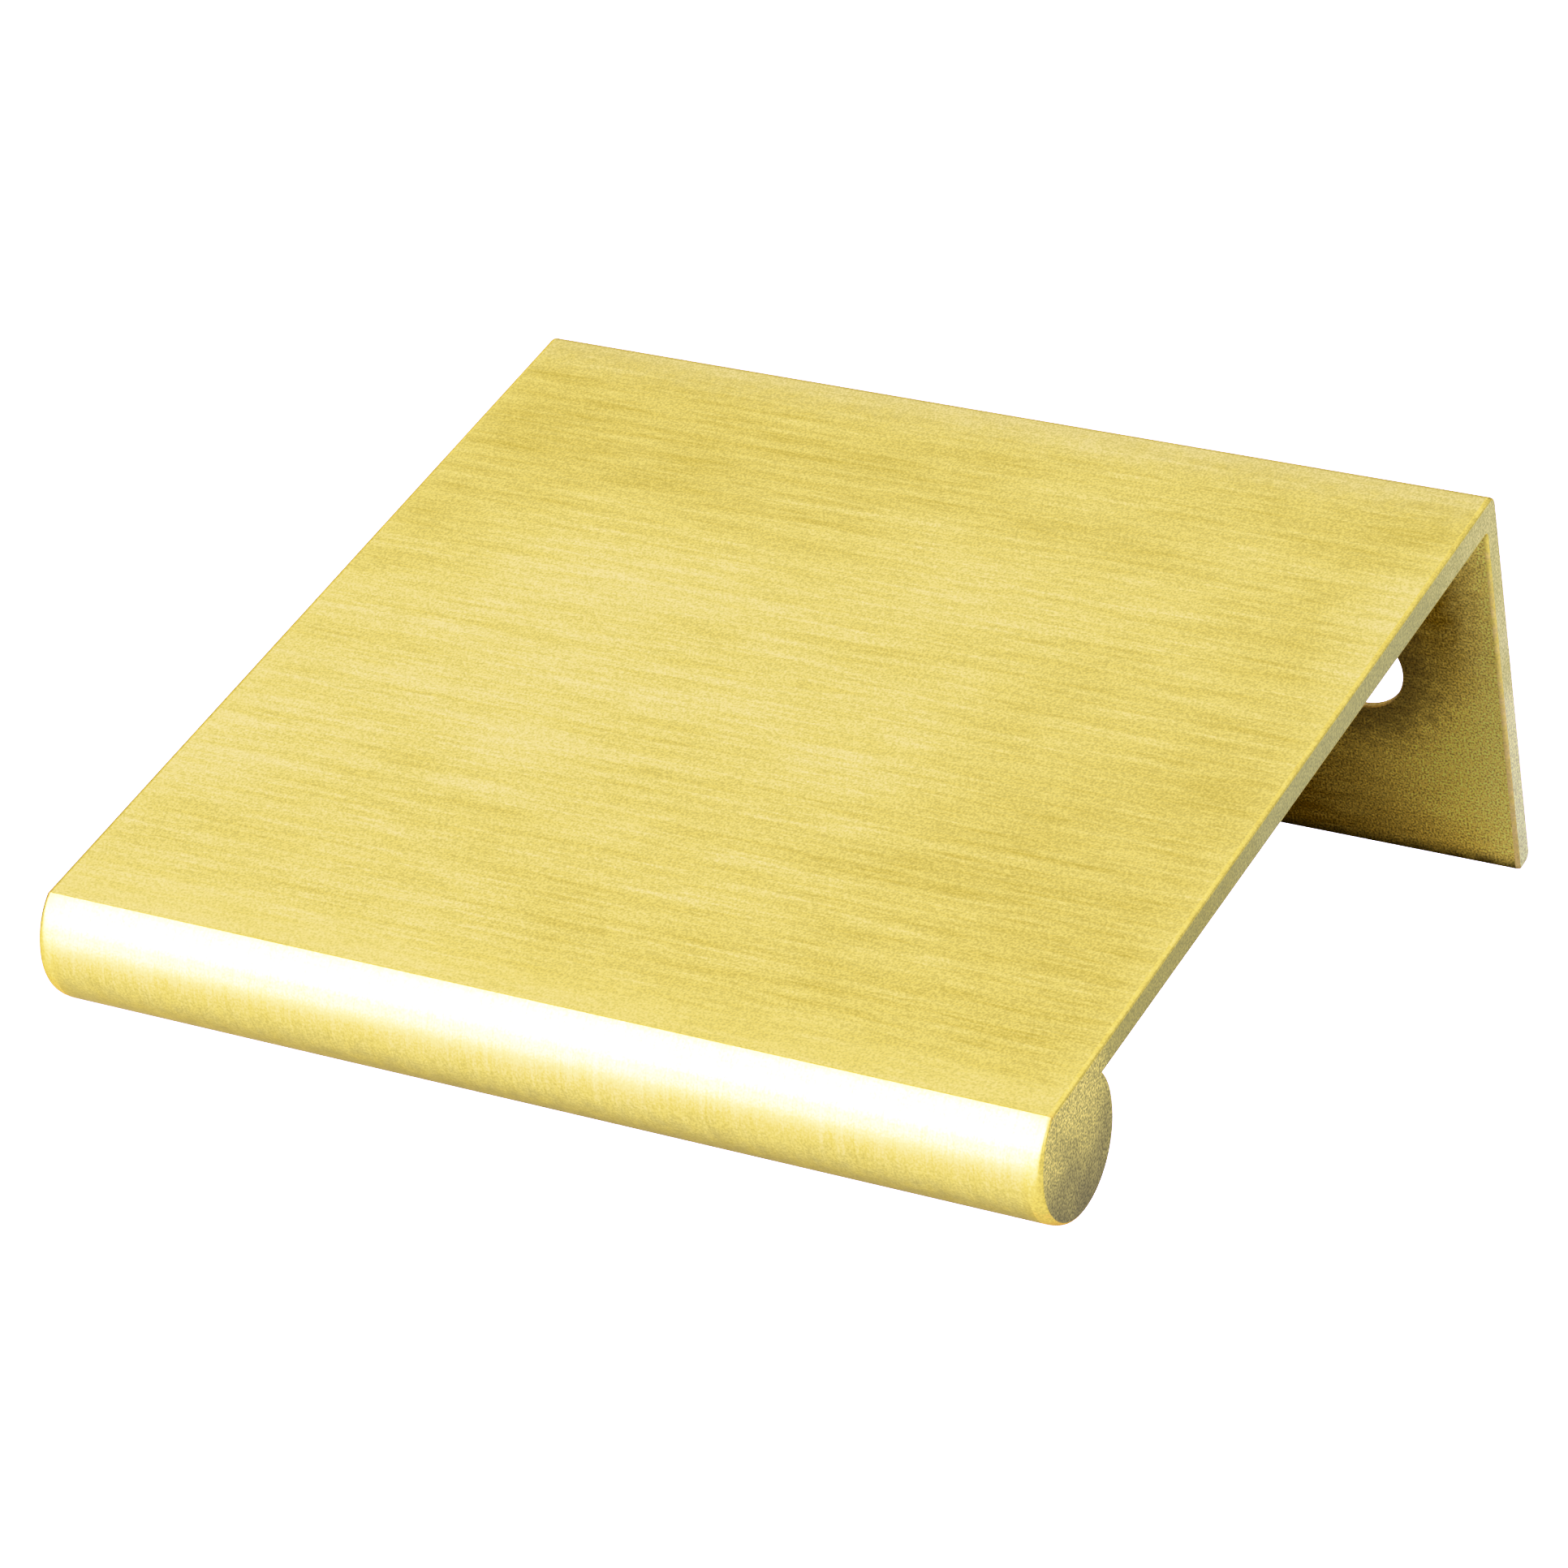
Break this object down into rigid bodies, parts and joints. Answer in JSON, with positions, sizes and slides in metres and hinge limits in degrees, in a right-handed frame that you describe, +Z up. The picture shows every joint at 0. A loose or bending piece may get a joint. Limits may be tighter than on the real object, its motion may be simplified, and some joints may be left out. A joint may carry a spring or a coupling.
{
  "type": "cabinet edge pull",
  "caption": "Edge pull for a drawer or cabinet front: a flat finger plate with a round bead along its free edge, and a flange with countersunk screw holes that fixes behind the front.",
  "frame": {"origin": "midway between the two screw holes, on the flange's face that lies against the back of the front", "axes": "+X along the pull, +Y out of the flange into the cabinet, +Z up out of the finger plate's top"},
  "size_m": [0.0454, 0.0438, 0.0192],
  "materials": {
    "brushed_brass": "brushed along its length, with matte cut ends"
  },
  "bodies": {
    "root": {"edge_pull": "brushed_brass"}
  },
  "joints": []
}
